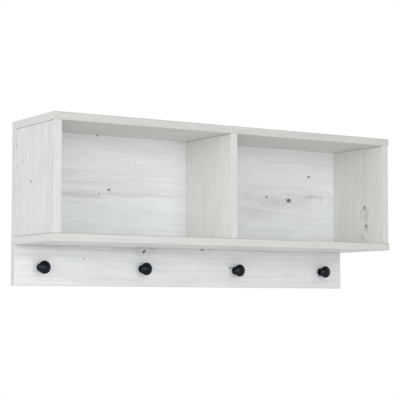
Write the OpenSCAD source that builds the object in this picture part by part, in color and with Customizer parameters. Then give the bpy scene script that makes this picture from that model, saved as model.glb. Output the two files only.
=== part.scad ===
// Wall hook rack: an open shelf box with two compartments on a full-height back
// panel. The panel runs down below the box as a strip that carries four round knobs.
//
// Millimetres. X runs along the rack, its front faces -Y and +Z is up. The origin is
// midway between the two keyhole hangers, on the plane of the wall.

/* [Rack] */
// Width over the top and bottom boards
rack_w = 800; // [740:10:1000]
// Height of the back panel, from the top of the box to the foot of the knob strip
rack_h = 320; // [310:5:380]
// Height over the top and bottom boards
box_h = 240; // [220:5:240]
// Depth of the top and bottom boards, in front of the back panel
box_d = 170; // [150:5:250]

/* [Boards] */
// Thickness of every board
board_t = 15; // [15:1:18]
// How far the side panels stand in from the ends of the top and bottom boards
side_inset = 1.5; // [0.5:0.5:3]
// How far the uprights stand back from the front of the top and bottom boards
front_inset = 1.5; // [0.5:0.5:3]
// Thickness of the edging strips
edging_t = 1; // [0.8:0.1:2]
// Radius of the trimmed long edges of an edging strip
arris_r = 0.6; // [0.3:0.1:0.7]

/* [Knobs] */
// Distance between neighbouring knobs
knob_pitch = 229; // [150:1:230]
// Height of the knobs above the foot of the back panel
knob_rise = 36; // [30:1:45]
// Diameter of a knob's head
knob_head_d = 26; // [22:1:30]
// Distance from the panel to the front of a knob
knob_reach = 24; // [21:0.5:26]
// Diameter of the flange at a knob's foot
knob_flange_d = 17; // [16:1:20]
// Diameter of a knob's neck
knob_neck_d = 9; // [8:0.5:10]

/* [Wall hangers] */
// Distance between the two wall screws
hanger_pitch = 640; // [500:10:660]
// Distance from the top of the rack down to the keyholes
hanger_drop = 60; // [60:5:90]
// Diameter of the keyhole's entry, which passes the wall screw's head
keyhole_entry_d = 10; // [9:0.5:11]
// Width of the keyhole's slot, which holds the wall screw's shank
keyhole_slot_w = 5; // [4:0.5:6]

/* [Hidden] */
$fn = 64;

// Colours
decor_colour = "#D8DBDA";
edging_colour = "#DAD8D0";
knob_colour = "#23262B";
zinc_colour = "#B9BDC2";
beech_colour = "#D9B98A";
plug_colour = "#E4E3DF";

// Clearance around a part that sits in a bore, and how far a cut runs past a face
fit_gap = 0.05;
cut = 1;

// Radius of the trimmed corners at the ends of the strips along the box's front
strip_end_r = 0.9 * edging_t;

// Planes of the rack
half_w = rack_w / 2;
z_top = hanger_drop;
z_foot = z_top - rack_h;
z_box = z_top - box_h;
panel_front = -board_t;
box_front = panel_front - box_d;

// Uprights between the top and bottom boards
upright_h = box_h - 2 * board_t;
upright_z = z_box + board_t;
upright_front = box_front + front_inset;
upright_d = box_d - front_inset;
side_x = half_w - side_inset - board_t / 2;
upright_xs = [-side_x, 0, side_x];

// Knobs
knob_z = z_foot + knob_rise;
knob_xs = [for (i = [0:3]) (i - 1.5) * knob_pitch];
knob_head_r = knob_head_d / 2;
knob_flange_t = 3;
knob_flange_round_r = 1;
knob_fillet_r = 1.5;
knob_flare_r = 2;
knob_rim_r = 2;

// The knob's crown is a ball that runs into the round of the rim without a crease
knob_crown_rise = 5.5;
knob_rim_h = knob_reach - knob_crown_rise;
knob_rim_centre = knob_head_r - knob_rim_r;
knob_crown_r = (pow(knob_crown_rise, 2) + pow(knob_rim_centre, 2) - pow(knob_rim_r, 2))
    / (2 * (knob_crown_rise - knob_rim_r));
knob_crown_centre = knob_reach - knob_crown_r;
knob_crown_angle = atan2(knob_rim_h - knob_crown_centre, knob_rim_centre);

// Machine screws that hold the knobs from behind
knob_screw_head_r = 4;
knob_screw_head_h = 2.6;
knob_screw_r = 2;
knob_screw_length = 22;
// Depth of the head's counterbore, and how much wider the holes in the panel are
knob_screw_sink = 3;
knob_screw_gap = 0.2;
knob_bore_r = knob_screw_r + fit_gap;
knob_bore_h = 11;

// Confirmat screws: a head, a plain collar and a threaded end with a short tip
confirmat_head_r = 4.9;
confirmat_head_h = 3;
confirmat_collar_r = 3.5;
confirmat_collar_h = 9;
confirmat_thread_r = 3.2;
confirmat_tip_r = 1;
confirmat_tip_h = 3;
confirmat_length = 50;
confirmat_socket_r = 2.3;
confirmat_socket_h = 2.5;
// Their places along the box's depth, as shares of it from the back panel
confirmat_ys = [for (share = [0.78, 0.24]) panel_front - share * box_d];
plug_r = 4.95;
plug_h = 1.5;
plug_peg_r = 1.8;
plug_peg_h = 2;

// Dowels midway between the confirmats
dowel_r = 4;
dowel_length = 30;
dowel_in_board = 11;
dowel_y = (confirmat_ys[0] + confirmat_ys[1]) / 2;

// Countersunk screws through the back panel into the boards and the uprights
rear_screw_head_r = 3.9;
rear_screw_r = 1.95;
rear_screw_length = 45;
rear_screw_pitch = 0.3 * rack_w;
rear_screw_xs = [for (i = [0:3]) (i - 1.5) * rear_screw_pitch];
rear_screw_board_zs = [z_top - board_t / 2, z_box + board_t / 2];
rear_screw_upright_pitch = 0.52 * upright_h;
rear_screw_upright_zs = [for (i = [0, 1]) z_box + box_h / 2 + (i - 0.5) * rear_screw_upright_pitch];

// Height of the straight edge round a countersunk head
head_edge_h = 0.3;

// Keyhole hanger plates, let into the back of the panel
hanger_x = hanger_pitch / 2;
plate_w = 22;
plate_t = 2;
plate_below = 24;
plate_above = 34;
plate_corner_r = 3;
slot_rise = 13.5;
pocket_r = 7;
pocket_depth = 8;
hanger_screw_zs = [-16, 26];
hanger_screw_head_r = 3.4;
hanger_screw_r = 1.75;
hanger_screw_length = 10;

// Points on an arc about c, from angle a0 to angle a1. With first = 1 the arc leaves out
// its first point, where it carries on from the end of another one.
function arc(c, r, a0, a1, steps, first = 0) =
    [for (i = [first:steps]) let (a = a0 + (a1 - a0) * i / steps) c + r * [cos(a), sin(a)]];

// ---- Shared shapes ----

// Edging strip along +X, glued at y = 0, with its outer face towards -Y
module edging_strip(length) {
    outer = -edging_t + arris_r;
    rotate([90, 0, 90])
        linear_extrude(length)
            polygon(concat(
                [[0, 0], [0, board_t]],
                arc([outer, board_t - arris_r], arris_r, 90, 180, 4),
                arc([outer, arris_r], arris_r, 180, 270, 4)
            ));
}

// Edging strip whose two ends are box corners, trimmed round
module cornered_edging_strip(length) {
    outer = -edging_t + strip_end_r;
    intersection() {
        edging_strip(length);
        linear_extrude(board_t)
            polygon(concat(
                [[length, 0], [0, 0]],
                arc([strip_end_r, outer], strip_end_r, 180, 270, 4),
                arc([length - strip_end_r, outer], strip_end_r, 270, 360, 4)
            ));
    }
}

// Hole down from z = 0, with its mouth run past the face
module hole(r, depth) {
    translate([0, 0, -depth])
        cylinder(r = r, h = depth + cut);
}

// Turns a part that points down -Z into one that goes in from the wall side
module from_behind() {
    rotate([-90, 0, 0])
        children();
}

// Countersunk wood screw down from z = 0, with a cross recess
module wood_screw(head_r, r, length) {
    recess_w = 0.25 * head_r;
    recess_l = 1.1 * head_r;
    recess_h = 0.4 * head_r;
    tip_h = 2 * r;
    difference() {
        rotate_extrude()
            polygon([
                [0, 0], [head_r, 0], [head_r, -head_edge_h], [r, -head_edge_h - (head_r - r)],
                [r, tip_h - length], [0, -length]
            ]);
        for (turn = [0, 90])
            rotate([0, 0, turn])
                translate([-recess_l / 2, -recess_w / 2, -recess_h])
                    cube([recess_l, recess_w, recess_h + cut]);
    }
}

// Room for a wood screw, with its countersink
module wood_screw_hole(head_r, r, length) {
    mouth_r = head_r + fit_gap;
    bore_r = r + fit_gap;
    foot = -length - fit_gap;
    rotate_extrude()
        polygon([
            [0, cut], [mouth_r, cut], [mouth_r, -head_edge_h],
            [bore_r, -head_edge_h - (head_r - r)], [bore_r, foot], [0, foot]
        ]);
}

module rounded_plate(w, low, high, r) {
    translate([-w / 2, low + r])
        square([w, high - low - 2 * r]);
    translate([-w / 2 + r, low])
        square([w - 2 * r, high - low]);
    for (x = [-w / 2 + r, w / 2 - r])
        for (y = [low + r, high - r])
            translate([x, y])
                circle(r);
}

// ---- Fasteners in their places, used for the parts and for their holes ----

module at_confirmats() {
    for (x = upright_xs)
        for (y = confirmat_ys) {
            translate([x, y, z_top])
                children();
            translate([x, y, z_box])
                rotate([180, 0, 0])
                    children();
        }
}

module at_dowels() {
    for (x = upright_xs) {
        translate([x, dowel_y, z_top - board_t])
            children();
        translate([x, dowel_y, z_box + board_t])
            rotate([180, 0, 0])
                children();
    }
}

module at_rear_screws() {
    for (x = rear_screw_xs)
        for (z = rear_screw_board_zs)
            translate([x, 0, z])
                from_behind()
                    children();
    for (x = upright_xs)
        for (z = rear_screw_upright_zs)
            translate([x, 0, z])
                from_behind()
                    children();
}

module at_knobs() {
    for (x = knob_xs)
        translate([x, 0, knob_z])
            from_behind()
                children();
}

// Room for the confirmats, their plugs and the dowels in the boards and uprights
module box_joint_holes() {
    at_confirmats() {
        hole(plug_r + fit_gap, plug_h + confirmat_head_h);
        hole(confirmat_collar_r + fit_gap, confirmat_length + 2 * plug_h);
    }
    at_dowels()
        translate([0, 0, dowel_in_board - dowel_length - fit_gap])
            cylinder(r = dowel_r + fit_gap, h = dowel_length + 2 * fit_gap);
}

module rear_screw_holes() {
    at_rear_screws()
        wood_screw_hole(rear_screw_head_r, rear_screw_r, rear_screw_length);
}

// ---- Back panel ----

// Keyhole plate's recess, with the deeper pocket that the wall screw's head moves in
module hanger_recess(x) {
    translate([x, 0, 0])
        from_behind() {
            translate([0, 0, -plate_t])
                linear_extrude(plate_t + cut)
                    mirror([0, 1])
                        rounded_plate(
                            plate_w + 2 * fit_gap,
                            -plate_below - fit_gap,
                            plate_above + fit_gap,
                            plate_corner_r
                        );
            translate([0, 0, -pocket_depth])
                linear_extrude(pocket_depth)
                    mirror([0, 1]) {
                        circle(pocket_r);
                        translate([-pocket_r, 0])
                            square([2 * pocket_r, slot_rise]);
                        translate([0, slot_rise])
                            circle(pocket_r);
                    }
            for (z = hanger_screw_zs)
                translate([0, -z, 0])
                    hole(hanger_screw_r + fit_gap, hanger_screw_length + fit_gap);
        }
}

module back_panel() {
    color(decor_colour)
        difference() {
            translate([-half_w + edging_t, panel_front, z_foot + edging_t])
                cube([rack_w - 2 * edging_t, board_t, rack_h - 2 * edging_t]);
            rear_screw_holes();
            at_knobs() {
                hole(knob_screw_head_r + knob_screw_gap, knob_screw_sink);
                hole(knob_screw_r + knob_screw_gap, board_t + cut);
            }
            for (x = [-hanger_x, hanger_x])
                hanger_recess(x);
        }
}

module back_panel_edging_top() {
    color(edging_colour)
        translate([-half_w, panel_front, z_top - edging_t])
            rotate([-90, 0, 0])
                edging_strip(rack_w);
}

module back_panel_edging_bottom() {
    color(edging_colour)
        translate([-half_w, 0, z_foot + edging_t])
            rotate([90, 0, 0])
                edging_strip(rack_w);
}

module back_panel_edging_side() {
    color(edging_colour)
        translate([-half_w + edging_t, panel_front, z_foot + edging_t])
            rotate([0, 0, -90])
                rotate([0, -90, 0])
                    edging_strip(rack_h - 2 * edging_t);
}

// ---- Top and bottom boards ----

module horizontal_board(z) {
    color(decor_colour)
        difference() {
            translate([-half_w + edging_t, box_front + edging_t, z])
                cube([rack_w - 2 * edging_t, box_d - edging_t, board_t]);
            box_joint_holes();
            rear_screw_holes();
        }
}

module board_edging_front(z) {
    color(edging_colour)
        translate([-half_w, box_front + edging_t, z])
            cornered_edging_strip(rack_w);
}

module board_edging_end(z) {
    color(edging_colour)
        translate([-half_w + edging_t, panel_front, z])
            rotate([0, 0, -90])
                edging_strip(box_d - edging_t);
}

// ---- Uprights ----

module upright(x) {
    color(decor_colour)
        difference() {
            translate([x - board_t / 2, upright_front + edging_t, upright_z])
                cube([board_t, upright_d - edging_t, upright_h]);
            box_joint_holes();
            rear_screw_holes();
        }
}

module upright_edging(x) {
    color(edging_colour)
        translate([x + board_t / 2, upright_front + edging_t, upright_z])
            rotate([0, -90, 0])
                edging_strip(upright_h);
}

// ---- Knobs ----

// Half outline of a knob: x is the radius and y the distance from the panel
function knob_outline() = concat(
    [[0, 0], [knob_flange_d / 2, 0]],
    arc([knob_flange_d / 2 - knob_flange_round_r, knob_flange_t - knob_flange_round_r],
        knob_flange_round_r, 0, 90, 4),
    arc([knob_neck_d / 2 + knob_fillet_r, knob_flange_t + knob_fillet_r],
        knob_fillet_r, 270, 180, 4),
    arc([knob_neck_d / 2 + knob_flare_r, knob_rim_h - knob_rim_r - knob_flare_r],
        knob_flare_r, 180, 90, 4),
    arc([knob_rim_centre, knob_rim_h], knob_rim_r, -90, knob_crown_angle, 9),
    arc([0, knob_crown_centre], knob_crown_r, knob_crown_angle, 90, 10, first = 1)
);

module knob(x) {
    color(knob_colour)
        translate([x, panel_front, knob_z])
            rotate([90, 0, 0])
                difference() {
                    rotate_extrude()
                        polygon(knob_outline());
                    translate([0, 0, -cut])
                        cylinder(r = knob_bore_r, h = knob_bore_h + cut);
                }
}

module knob_screws() {
    recess_w = 1;
    recess_l = 4.6;
    recess_h = 1.6;
    color(zinc_colour)
        at_knobs()
            translate([0, 0, -knob_screw_sink])
                difference() {
                    union() {
                        cylinder(r = knob_screw_head_r, h = knob_screw_head_h);
                        translate([0, 0, -knob_screw_length])
                            cylinder(r = knob_screw_r, h = knob_screw_length + cut);
                    }
                    for (turn = [0, 90])
                        rotate([0, 0, turn])
                            translate([-recess_l / 2, -recess_w / 2, knob_screw_head_h - recess_h])
                                cube([recess_l, recess_w, recess_h + cut]);
                }
}

// ---- Box fasteners ----

module dowels() {
    color(beech_colour)
        at_dowels()
            translate([0, 0, dowel_in_board - dowel_length])
                cylinder(r = dowel_r, h = dowel_length);
}

module confirmat_screws() {
    color(zinc_colour)
        at_confirmats()
            translate([0, 0, -plug_h])
                difference() {
                    rotate_extrude()
                        polygon([
                            [0, 0],
                            [confirmat_head_r, 0],
                            [confirmat_head_r, -confirmat_head_h],
                            [confirmat_collar_r, -confirmat_head_h],
                            [confirmat_collar_r, -confirmat_head_h - confirmat_collar_h],
                            [confirmat_thread_r, -confirmat_head_h - confirmat_collar_h],
                            [confirmat_thread_r, confirmat_tip_h - confirmat_length],
                            [confirmat_tip_r, -confirmat_length],
                            [0, -confirmat_length]
                        ]);
                    translate([0, 0, -confirmat_socket_h])
                        cylinder(r = confirmat_socket_r, h = confirmat_socket_h + cut, $fn = 6);
                }
}

module confirmat_plugs() {
    color(plug_colour)
        at_confirmats() {
            translate([0, 0, -plug_h])
                cylinder(r = plug_r, h = plug_h);
            translate([0, 0, -plug_h - plug_peg_h])
                cylinder(r = plug_peg_r, h = plug_peg_h + plug_h / 2);
        }
}

module back_panel_screws() {
    color(zinc_colour)
        at_rear_screws()
            wood_screw(rear_screw_head_r, rear_screw_r, rear_screw_length);
}

// ---- Wall hangers ----

module hanger_plate(x) {
    color(zinc_colour)
        translate([x, 0, 0])
            from_behind()
                difference() {
                    translate([0, 0, -plate_t])
                        linear_extrude(plate_t)
                            mirror([0, 1])
                                rounded_plate(plate_w, -plate_below, plate_above, plate_corner_r);
                    hole(keyhole_entry_d / 2, plate_t + cut);
                    translate([0, -slot_rise, 0])
                        hole(keyhole_slot_w / 2, plate_t + cut);
                    translate([-keyhole_slot_w / 2, -slot_rise, -plate_t - cut])
                        cube([keyhole_slot_w, slot_rise, plate_t + 2 * cut]);
                    for (z = hanger_screw_zs)
                        translate([0, -z, 0])
                            wood_screw_hole(hanger_screw_head_r, hanger_screw_r, plate_t + cut);
                }
}

module hanger_screws() {
    color(zinc_colour)
        for (x = [-hanger_x, hanger_x])
            for (z = hanger_screw_zs)
                translate([x, 0, z])
                    from_behind()
                        wood_screw(hanger_screw_head_r, hanger_screw_r, hanger_screw_length);
}

// ---- Nodes ----

back_panel();
back_panel_edging_top();
back_panel_edging_bottom();
back_panel_edging_side();  // back_panel_edging_left
mirror([1, 0, 0]) back_panel_edging_side();  // back_panel_edging_right
horizontal_board(z_top - board_t);  // top_board
board_edging_front(z_top - board_t);  // top_board_edging_front
board_edging_end(z_top - board_t);  // top_board_edging_left
mirror([1, 0, 0]) board_edging_end(z_top - board_t);  // top_board_edging_right
horizontal_board(z_box);  // bottom_board
board_edging_front(z_box);  // bottom_board_edging_front
board_edging_end(z_box);  // bottom_board_edging_left
mirror([1, 0, 0]) board_edging_end(z_box);  // bottom_board_edging_right
upright(-side_x);  // left_side_panel
upright_edging(-side_x);  // left_side_edging
upright(side_x);  // right_side_panel
upright_edging(side_x);  // right_side_edging
upright(0);  // centre_divider
upright_edging(0);  // divider_edging
knob(knob_xs[0]);  // knob_1
knob(knob_xs[1]);  // knob_2
knob(knob_xs[2]);  // knob_3
knob(knob_xs[3]);  // knob_4
knob_screws();
dowels();
confirmat_screws();
confirmat_plugs();
back_panel_screws();
hanger_plate(-hanger_x);  // hanger_plate_left
hanger_plate(hanger_x);  // hanger_plate_right
hanger_screws();
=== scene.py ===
import math

import bmesh
import bpy
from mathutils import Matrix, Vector


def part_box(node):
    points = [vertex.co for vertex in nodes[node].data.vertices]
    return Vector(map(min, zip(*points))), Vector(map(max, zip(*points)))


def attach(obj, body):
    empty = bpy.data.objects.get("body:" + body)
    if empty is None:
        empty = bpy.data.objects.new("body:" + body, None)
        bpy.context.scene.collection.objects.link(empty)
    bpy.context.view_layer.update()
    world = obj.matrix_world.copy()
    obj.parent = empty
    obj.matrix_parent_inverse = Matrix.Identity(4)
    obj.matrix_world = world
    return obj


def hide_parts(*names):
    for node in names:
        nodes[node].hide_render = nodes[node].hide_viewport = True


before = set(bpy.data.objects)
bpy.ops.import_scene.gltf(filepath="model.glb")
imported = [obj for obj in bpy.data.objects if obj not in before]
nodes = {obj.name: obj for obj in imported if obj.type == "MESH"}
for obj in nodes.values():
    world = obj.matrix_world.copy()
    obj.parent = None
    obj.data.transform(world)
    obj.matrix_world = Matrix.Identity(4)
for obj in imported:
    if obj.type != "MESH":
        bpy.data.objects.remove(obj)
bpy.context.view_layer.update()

# ---- Back panel ----
# A 15 mm chipboard panel, faced front and back with melamine paper that is printed as
# whitewashed pine. Below the box it runs on as the strip that carries the knobs. The
# print's grain runs along the rack, and its knots fall as the panel was cut from the sheet.

PANEL_TONES = ("#F2F4F7", "#DFE1E2")
STAIN_OR_SHADE = "#B3B3AB"
FIGURE_LINE = "#8B887D"
KNOT = "#37322B"
KNOT_RIM = "#8B8472"
EDGE_SHADE_LINE = "#6A604E"
CHIP_COLOURS = ("#A98B62", "#C4A97F", "#DAC6A2", "#8C6F4B")

X, Y, Z = 0, 1, 2
MM_PER_M = 1000
MATH, VECTOR_MATH, MIX = "ShaderNodeMath", "ShaderNodeVectorMath", "ShaderNodeMix"
# A map range takes a value, then the range it comes from and the range it goes to.
NOISE, MAP_RANGE = "ShaderNodeTexNoise", "ShaderNodeMapRange"
EASED = {"interpolation_type": "SMOOTHSTEP"}
# A colour mix takes its two colours in these sockets.
FIRST, SECOND = 6, 7


def linear(colour):
    """A hex colour as the linear red, green, blue and alpha that sockets take."""
    parts = [int(colour[i:i + 2], 16) / 255 for i in (1, 3, 5)]
    return [p / 12.92 if p <= 0.04045 else ((p + 0.055) / 1.055) ** 2.4 for p in parts] + [1]


def add(tree, kind, sockets=(), **settings):
    """A node with its settings. Its sockets get their values or links in order, or by name
    or number."""
    node = tree.nodes.new(kind)
    for name, value in settings.items():
        setattr(node, name, value)
    for key, value in sockets.items() if isinstance(sockets, dict) else enumerate(sockets):
        if isinstance(value, bpy.types.Node):
            value = next(o for o in value.outputs if o.enabled)
        if isinstance(value, bpy.types.NodeSocket):
            tree.links.new(value, node.inputs[key])
        else:
            node.inputs[key].default_value = value
    return node


def new_material(name):
    """A material and its empty tree."""
    material = bpy.data.materials.new(name)
    material.use_nodes = True
    material.node_tree.nodes.clear()
    return material, material.node_tree


def new_group(name, kind, inputs, outputs):
    """A node group with named sockets, and the sockets on which its inputs arrive."""
    group = bpy.data.node_groups.new(name, kind)
    for way, sockets in (("INPUT", inputs), ("OUTPUT", outputs)):
        for socket, holds in sockets.items():
            group.interface.new_socket(name=socket, in_out=way, socket_type="NodeSocket" + holds)
    return group, group.nodes.new("NodeGroupInput").outputs


# One feature of the print: a knot with its dark core, an eye in the figure, where growth
# rings close round a point, or a grey mineral streak, or a band of painted shade. All sizes are in mm.
FEATURE = {"Core": 0.0, "Depth": 0.0, "Swirl": 0.0, "Stretch": 2.0, "Lines": 0.0,
           "Stain length": 1.0, "Stain width": 1.0, "Stain": 0.0}
SUMS = ("Push", "Core", "Rim", "Lines", "Stain")
RING_MM = 3.0
SOFTENING, OVAL = 0.45, (0.8, 1, 1)
feature_group, given = new_group(
    "Pine feature", "ShaderNodeTree",
    {"Point": "Vector", "Ragged": "Float", "Wobble": "Float", "Centre": "Vector",
     **dict.fromkeys(FEATURE, "Float")},
    dict.fromkeys(SUMS, "Float"),
)
tree = feature_group
away = add(tree, VECTOR_MATH, (given["Point"], given["Centre"]), operation="SUBTRACT")
ahead, aside, deep = add(tree, "ShaderNodeSeparateXYZ", (away,)).outputs
# The grain is pushed aside round an ellipse, most beside it and less with distance.
squeezed = add(tree, MATH, (ahead, given["Stretch"]), operation="DIVIDE")
ellipse = add(tree, "ShaderNodeCombineXYZ", (squeezed, aside, deep))
reach = add(tree, VECTOR_MATH, (ellipse,), operation="LENGTH")
reach_squared = add(tree, MATH, (reach, 2.0), operation="POWER")
swirl_squared = add(tree, MATH, (given["Swirl"], 2.0), operation="POWER")
softened = add(tree, MATH, (swirl_squared, SOFTENING, reach_squared), operation="MULTIPLY_ADD")
bend = add(tree, MATH, (swirl_squared, softened), operation="DIVIDE")
push = add(tree, MATH, (bend, aside), operation="MULTIPLY")
push = add(tree, MATH, (push, -1.0), operation="MULTIPLY")
# Growth rings close round the ellipse. Their spacing is uneven and their course wobbles.
wobbly = add(tree, MATH, (reach, given["Wobble"]), operation="MULTIPLY")
ring_at = add(tree, MATH, (wobbly, RING_MM), operation="DIVIDE")
ring_at = add(tree, MATH, (ring_at, given["Swirl"]), operation="ADD")
rings = add(tree, NOISE, {"W": ring_at, "Scale": 1.0, "Detail": 1.0}, noise_dimensions="1D")
lines = add(tree, MAP_RANGE, (rings, 0.5, 0.64), **EASED)
share = add(tree, MATH, (wobbly, given["Swirl"]), operation="DIVIDE")
inside = add(tree, MAP_RANGE, (share, 0.7, 1.2, 1.0, 0.0), **EASED)
outside = add(tree, MAP_RANGE, (share, 0.2, 0.6, 0.25, 1.0), **EASED)
for factor in (inside, outside, given["Lines"]):
    lines = add(tree, MATH, (lines, factor), operation="MULTIPLY")
# The core is an oval a little longer than wide, with a ragged rim of brown bark.
oval = add(tree, VECTOR_MATH, (away, OVAL), operation="MULTIPLY")
oval = add(tree, VECTOR_MATH, (oval,), operation="LENGTH")
oval = add(tree, MATH, (oval, given["Ragged"]), operation="MULTIPLY")
oval = add(tree, MATH, (given["Core"], oval), operation="DIVIDE")
core = add(tree, MAP_RANGE, (oval, 0.7, 1.2), **EASED)
rim = add(tree, MAP_RANGE, (oval, 0.4, 0.85), **EASED)
core, rim = (add(tree, MATH, (part, given["Depth"]), operation="MULTIPLY") for part in (core, rim))
# The stain, or painted shade, fades out from the middle of a long ellipse.
extent = add(tree, "ShaderNodeCombineXYZ", (given["Stain length"], given["Stain width"], 1.0))
stain_or_shade = add(tree, VECTOR_MATH, (away, extent), operation="DIVIDE")
stain_or_shade = add(tree, VECTOR_MATH, (stain_or_shade,), operation="LENGTH")
stain_or_shade = add(tree, MATH, (stain_or_shade, given["Wobble"]), operation="MULTIPLY")
stain_or_shade = add(tree, MAP_RANGE, (stain_or_shade, 0.2, 1.1, 1.0, 0.0), **EASED)
stain_or_shade = add(tree, MATH, (stain_or_shade, given["Stain"]), operation="MULTIPLY")
add(tree, "NodeGroupOutput", dict(zip(SUMS, (push, core, rim, lines, stain_or_shade))))

# The printed wood itself. Growth rings wander along the board, fine brushed fibres lie in
# them, and broad clouds of whitewash lie over both. All of it stays pale. Lengths and widths
# are in mm. The wandering changes more slowly than the rest from sheet to sheet.
WANDER_DEPTH, BARK_STRENGTH = 0.37, 0.45
print_group, given = new_group(
    "Whitewashed pine print", "ShaderNodeTree",
    {"Point": "Vector", **dict.fromkeys(SUMS, "Float"), "Light": "Color", "Shade": "Color"},
    {"Colour": "Color", "Grain": "Float"},
)
tree = print_group
ahead, aside, deep = add(tree, "ShaderNodeSeparateXYZ", (given["Point"],)).outputs
flow = add(tree, MATH, (aside, given["Push"]), operation="ADD")
for length, width, strength in ((420, 70, 18), (100, 22, 4), (24, 9, 0.8)):
    scale = (1 / length, 1 / width, WANDER_DEPTH)
    spot = add(tree, VECTOR_MATH, (given["Point"], scale), operation="MULTIPLY")
    wander = add(tree, NOISE, {"Vector": spot, "Scale": 1.0, "Detail": 1.0})
    flow = add(tree, MATH, (wander, strength, flow), operation="MULTIPLY_ADD")
layers = {}
for layer, length, width, detail in (
    ("rings", 300, 7.0, 3.0), ("fibres", 45, 1.2, 2.0), ("dashes", 16, 2.4, 1.0),
    ("clouds", 90, 30.0, 2.0), ("hairs", 40, 2.2, 1.0),
):
    along = add(tree, MATH, (ahead, length), operation="DIVIDE")
    across = add(tree, MATH, (flow, width), operation="DIVIDE")
    spot = add(tree, "ShaderNodeCombineXYZ", (along, across, deep))
    layers[layer] = add(tree, NOISE, {"Vector": spot, "Scale": 1.0, "Detail": detail})
fibres = add(tree, MAP_RANGE, (layers["fibres"], 0.35, 0.75))
shaded = add(tree, MATH, (fibres, 0.35, -0.9), operation="MULTIPLY_ADD")
for layer, weight in (("rings", 0.95), ("dashes", 0.7), ("clouds", 0.9)):
    shaded = add(tree, MATH, (layers[layer], weight, shaded), operation="MULTIPLY_ADD")
# Stains and painted shade lie in lumps, with fine dark hairs in them, and figure lines break up into dashes.
lumps = add(tree, MAP_RANGE, (layers["rings"], 0.35, 0.65, 0.3, 1.3))
hairs = add(tree, MAP_RANGE, (layers["hairs"], 0.5, 0.7, 0.0, 0.55), **EASED)
broken = add(tree, MAP_RANGE, (layers["dashes"], 0.4, 0.6, 0.35, 1.0))
stained_or_shaded, haired, drawn = (
    add(tree, MATH, (texture, amount), operation="MULTIPLY", use_clamp=True)
    for texture, amount in ((lumps, given["Stain"]), (hairs, given["Stain"]), (broken, given["Lines"]))
)
barked = add(tree, MATH, (given["Rim"], BARK_STRENGTH), operation="MULTIPLY")
colour = {"Factor": shaded, FIRST: given["Light"], SECOND: given["Shade"]}
colour = add(tree, MIX, colour, data_type="RGBA")
for share, tone in (
    (stained_or_shaded, STAIN_OR_SHADE), (haired, FIGURE_LINE), (drawn, FIGURE_LINE), (barked, KNOT_RIM),
    (given["Core"], KNOT),
):
    colour = add(tree, MIX, {"Factor": share, FIRST: colour, SECOND: linear(tone)}, data_type="RGBA")
add(tree, "NodeGroupOutput", {"Colour": colour, "Grain": fibres})

# The sheets of paper lie this far apart in the pattern's third direction, so that no two match.
SHEET_GAP = 400


def pine_faced_melamine(name, along, across, face, middle, sheet, features, tones, shaded_edges=()):
    """Melamine paper printed as whitewashed pine and pressed with a fine wood pore: a matt,
    slightly waxy white with grey streaks. The sheets on the two sides of the middle, in mm
    along the face axis, differ. Shaded edges are (axis, level in mm, strength): along each,
    a dark hairline of painted shade is drawn."""
    material, tree = new_material(name)
    place = add(tree, "ShaderNodeTexCoord").outputs["Object"]
    place = add(tree, VECTOR_MATH, {0: place, "Scale": MM_PER_M}, operation="SCALE")
    axes = add(tree, "ShaderNodeSeparateXYZ", (place,)).outputs
    side = add(tree, MATH, (axes[face], middle), operation="GREATER_THAN")
    layer = add(tree, MATH, (side, SHEET_GAP, sheet), operation="MULTIPLY_ADD")
    point = add(tree, "ShaderNodeCombineXYZ", (axes[along], axes[across], layer))
    ragged = add(tree, NOISE, {"Vector": point, "Scale": 0.7, "Detail": 2.0})
    drawn_out = add(tree, VECTOR_MATH, (point, (1 / 90, 1 / 24, 1)), operation="MULTIPLY")
    wobble = add(tree, NOISE, {"Vector": drawn_out, "Scale": 1.0, "Detail": 1.0})
    ragged, wobble = (add(tree, MAP_RANGE, (noise, 0, 1, 0.6, 1.4)) for noise in (ragged, wobble))
    sums = dict.fromkeys(SUMS, 0.0)
    for at, beside, back, sizes in features:
        found = add(tree, "ShaderNodeGroup", {
            "Point": point, "Ragged": ragged, "Wobble": wobble,
            "Centre": (at, beside, sheet + back * SHEET_GAP), **FEATURE, **sizes,
        }, node_tree=feature_group)
        for part, so_far in sums.items():
            sums[part] = add(tree, MATH, (so_far, found.outputs[part]), operation="ADD")
    wood = add(tree, "ShaderNodeGroup", {
        "Point": point, **sums, "Light": linear(tones[0]), "Shade": linear(tones[1]),
    }, node_tree=print_group)
    colour, grain = wood.outputs["Colour"], wood.outputs["Grain"]
    # Each shaded edge draws a wavering dark hairline of painted shade.
    for axis, level, strength in shaded_edges:
        gap = add(tree, MATH, (axes[axis], level), operation="SUBTRACT")
        gap = add(tree, MATH, (gap,), operation="ABSOLUTE")
        wavering_gap = add(tree, MATH, (gap, ragged), operation="MULTIPLY")
        line = add(tree, MAP_RANGE, (wavering_gap, 0.3, 1.1, strength, 0.0), **EASED)
        colour = add(tree, MIX, {"Factor": line, FIRST: colour, SECOND: linear(EDGE_SHADE_LINE)}, data_type="RGBA")
    roughness = add(tree, MAP_RANGE, (grain, 0, 1, 0.46, 0.58))
    pores = add(tree, "ShaderNodeBump", {"Height": grain, "Strength": 0.25, "Distance": 0.00006})
    shader = add(tree, "ShaderNodeBsdfPrincipled", {
        "Base Color": colour, "Roughness": roughness, "Normal": pores, "IOR": 1.5,
    })
    add(tree, "ShaderNodeOutputMaterial", {"Surface": shader})
    return material


# A feature says where it lies along and across the grain, whether it is on the back (or
# right, or upper) side, and its sizes.
def knot(along, across, back, core, depth):
    """A knot, with the radius of its core and how dark it is."""
    return (along, across, back, {
        "Core": core, "Depth": depth, "Swirl": 1.8 * core,
        "Stain length": 5 * core, "Stain width": 2.4 * core, "Stain": 0.2 * depth,
    })


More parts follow.
